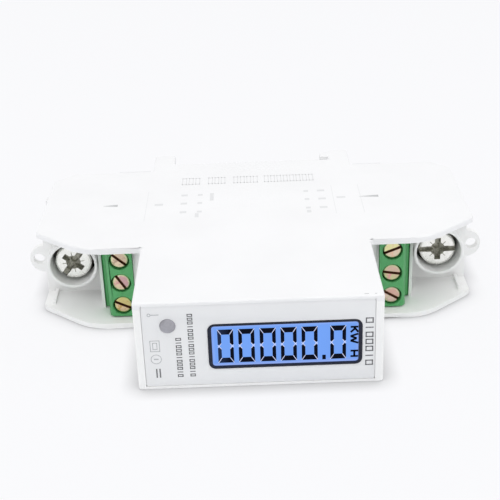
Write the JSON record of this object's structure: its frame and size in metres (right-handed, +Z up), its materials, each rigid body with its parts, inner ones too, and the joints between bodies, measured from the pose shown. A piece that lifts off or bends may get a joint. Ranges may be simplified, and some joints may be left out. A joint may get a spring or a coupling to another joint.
{
  "type": "din rail energy meter",
  "caption": "One-module DIN rail energy meter: slim white case with a digit display in its nose, recessed screw terminals at both ends and a sliding rail clip at the back.",
  "frame": {"origin": "bottom centre of the bounding box, on the surface that the meter lies on", "axes": "+Z up, across the module's width; +X along the case, towards the end that is uppermost on a wall; +Y from the nose back to the rail"},
  "size_m": [0.0952, 0.0728, 0.018],
  "materials": {
    "case_white": "fine satin moulded polycarbonate, white",
    "label_grey": "smooth pale grey printed plate",
    "bezel_black": "glossy near-black",
    "lcd_blue": "lit blue display glass",
    "backlight_white": "white diffuser",
    "led_grey": "smoky clear resin",
    "block_green": "satin green polyamide",
    "screw_zinc": "bright nickel-plated steel",
    "screw_brass": "yellow zinc-plated steel",
    "clamp_steel": "zinc-plated steel",
    "copper": "rolled copper",
    "shunt_alloy": "rolled resistance alloy",
    "tinned": "tin-plated brass",
    "board_green": "green solder mask on glass-fibre board",
    "chip_black": "black moulded epoxy",
    "film_yellow": "yellow capacitor case",
    "sleeve_black": "black shrink sleeve",
    "varistor_blue": "blue epoxy dip",
    "ferrite_grey": "dark sintered ferrite",
    "opto_white": "white moulded epoxy"
  },
  "bodies": {
    "case": {"base_shell": "case_white", "cover_shell": "case_white", "case_screw_nose_left": "screw_zinc", "case_screw_nose_right": "screw_zinc", "case_screw_back_left": "screw_zinc", "case_screw_back_right": "screw_zinc", "front_label": "label_grey", "display_bezel": "bezel_black", "lcd_cell": "lcd_blue", "lcd_backlight": "backlight_white", "pulse_led": "led_grey", "display_board": "board_green", "busbar_left": "copper", "busbar_right": "copper", "current_shunt": "shunt_alloy", "signal_block_left": "block_green", "signal_block_right": "block_green", "signal_contact_left_1": "tinned", "signal_contact_left_2": "tinned", "signal_contact_left_3": "tinned", "signal_contact_right_1": "tinned", "signal_contact_right_2": "tinned", "signal_contact_right_3": "tinned", "terminal_board": "board_green", "logic_board": "board_green", "microcontroller": "chip_black", "metering_chip": "chip_black", "clock_crystal": "tinned", "pulse_optocoupler": "opto_white", "data_optocoupler": "opto_white", "bus_transceiver": "chip_black", "display_header": "chip_black", "board_header": "chip_black", "power_board": "board_green", "film_capacitor": "film_yellow", "varistor": "varistor_blue", "reservoir_capacitor": "sleeve_black", "supply_inductor": "ferrite_grey", "fuse_resistor": "opto_white"},
    "rail_clip": {"rail_clip": "case_white"},
    "main_screw_left": {"main_screw_left": "screw_zinc"},
    "main_clamp_left": {"main_clamp_left": "clamp_steel"},
    "main_screw_right": {"main_screw_right": "screw_zinc"},
    "main_clamp_right": {"main_clamp_right": "clamp_steel"},
    "signal_screw_left_1": {"signal_screw_left_1": "screw_brass"},
    "signal_clamp_left_1": {"signal_clamp_left_1": "clamp_steel"},
    "signal_screw_left_2": {"signal_screw_left_2": "screw_brass"},
    "signal_clamp_left_2": {"signal_clamp_left_2": "clamp_steel"},
    "signal_screw_left_3": {"signal_screw_left_3": "screw_brass"},
    "signal_clamp_left_3": {"signal_clamp_left_3": "clamp_steel"},
    "signal_screw_right_1": {"signal_screw_right_1": "screw_brass"},
    "signal_clamp_right_1": {"signal_clamp_right_1": "clamp_steel"},
    "signal_screw_right_2": {"signal_screw_right_2": "screw_brass"},
    "signal_clamp_right_2": {"signal_clamp_right_2": "clamp_steel"},
    "signal_screw_right_3": {"signal_screw_right_3": "screw_brass"},
    "signal_clamp_right_3": {"signal_clamp_right_3": "clamp_steel"}
  },
  "joints": [
    {"name": "rail_clip_slide", "type": "slide", "parent": "case", "child": "rail_clip", "axis": [-1, 0, 0], "range_m": [0, 0.0032]},
    {"name": "main_screw_left_turn", "type": "hinge", "parent": "case", "child": "main_screw_left", "pos_m": [-0.0382, 0.00075, 0.009], "axis": [0, 1, 0], "range_deg": [0, 1800]},
    {"name": "main_clamp_left_rise", "type": "slide", "parent": "case", "child": "main_clamp_left", "axis": [0, -1, 0], "range_m": [0, 0.005]},
    {"name": "main_screw_right_turn", "type": "hinge", "parent": "case", "child": "main_screw_right", "pos_m": [0.0382, 0.00075, 0.009], "axis": [0, 1, 0], "range_deg": [0, 1800]},
    {"name": "main_clamp_right_rise", "type": "slide", "parent": "case", "child": "main_clamp_right", "axis": [0, -1, 0], "range_m": [0, 0.005]},
    {"name": "signal_screw_left_1_turn", "type": "hinge", "parent": "case", "child": "signal_screw_left_1", "pos_m": [-0.0273, -0.0102, 0.00392], "axis": [0, 1, 0], "range_deg": [0, 1584]},
    {"name": "signal_clamp_left_1_rise", "type": "slide", "parent": "case", "child": "signal_clamp_left_1", "axis": [0, -1, 0], "range_m": [0, 0.0022]},
    {"name": "signal_screw_left_2_turn", "type": "hinge", "parent": "case", "child": "signal_screw_left_2", "pos_m": [-0.0273, -0.0102, 0.009], "axis": [0, 1, 0], "range_deg": [0, 1584]},
    {"name": "signal_clamp_left_2_rise", "type": "slide", "parent": "case", "child": "signal_clamp_left_2", "axis": [0, -1, 0], "range_m": [0, 0.0022]},
    {"name": "signal_screw_left_3_turn", "type": "hinge", "parent": "case", "child": "signal_screw_left_3", "pos_m": [-0.0273, -0.0102, 0.01408], "axis": [0, 1, 0], "range_deg": [0, 1584]},
    {"name": "signal_clamp_left_3_rise", "type": "slide", "parent": "case", "child": "signal_clamp_left_3", "axis": [0, -1, 0], "range_m": [0, 0.0022]},
    {"name": "signal_screw_right_1_turn", "type": "hinge", "parent": "case", "child": "signal_screw_right_1", "pos_m": [0.0273, -0.0102, 0.00392], "axis": [0, 1, 0], "range_deg": [0, 1584]},
    {"name": "signal_clamp_right_1_rise", "type": "slide", "parent": "case", "child": "signal_clamp_right_1", "axis": [0, -1, 0], "range_m": [0, 0.0022]},
    {"name": "signal_screw_right_2_turn", "type": "hinge", "parent": "case", "child": "signal_screw_right_2", "pos_m": [0.0273, -0.0102, 0.009], "axis": [0, 1, 0], "range_deg": [0, 1584]},
    {"name": "signal_clamp_right_2_rise", "type": "slide", "parent": "case", "child": "signal_clamp_right_2", "axis": [0, -1, 0], "range_m": [0, 0.0022]},
    {"name": "signal_screw_right_3_turn", "type": "hinge", "parent": "case", "child": "signal_screw_right_3", "pos_m": [0.0273, -0.0102, 0.01408], "axis": [0, 1, 0], "range_deg": [0, 1584]},
    {"name": "signal_clamp_right_3_rise", "type": "slide", "parent": "case", "child": "signal_clamp_right_3", "axis": [0, -1, 0], "range_m": [0, 0.0022]}
  ],
  "couplings": [
    {"joint": "main_screw_left_turn", "follows": "main_clamp_left_rise", "rad_per_m": 6283},
    {"joint": "main_screw_right_turn", "follows": "main_clamp_right_rise", "rad_per_m": 6283},
    {"joint": "signal_screw_left_1_turn", "follows": "signal_clamp_left_1_rise", "rad_per_m": 12566},
    {"joint": "signal_screw_left_2_turn", "follows": "signal_clamp_left_2_rise", "rad_per_m": 12566},
    {"joint": "signal_screw_left_3_turn", "follows": "signal_clamp_left_3_rise", "rad_per_m": 12566},
    {"joint": "signal_screw_right_1_turn", "follows": "signal_clamp_right_1_rise", "rad_per_m": 12566},
    {"joint": "signal_screw_right_2_turn", "follows": "signal_clamp_right_2_rise", "rad_per_m": 12566},
    {"joint": "signal_screw_right_3_turn", "follows": "signal_clamp_right_3_rise", "rad_per_m": 12566}
  ]
}
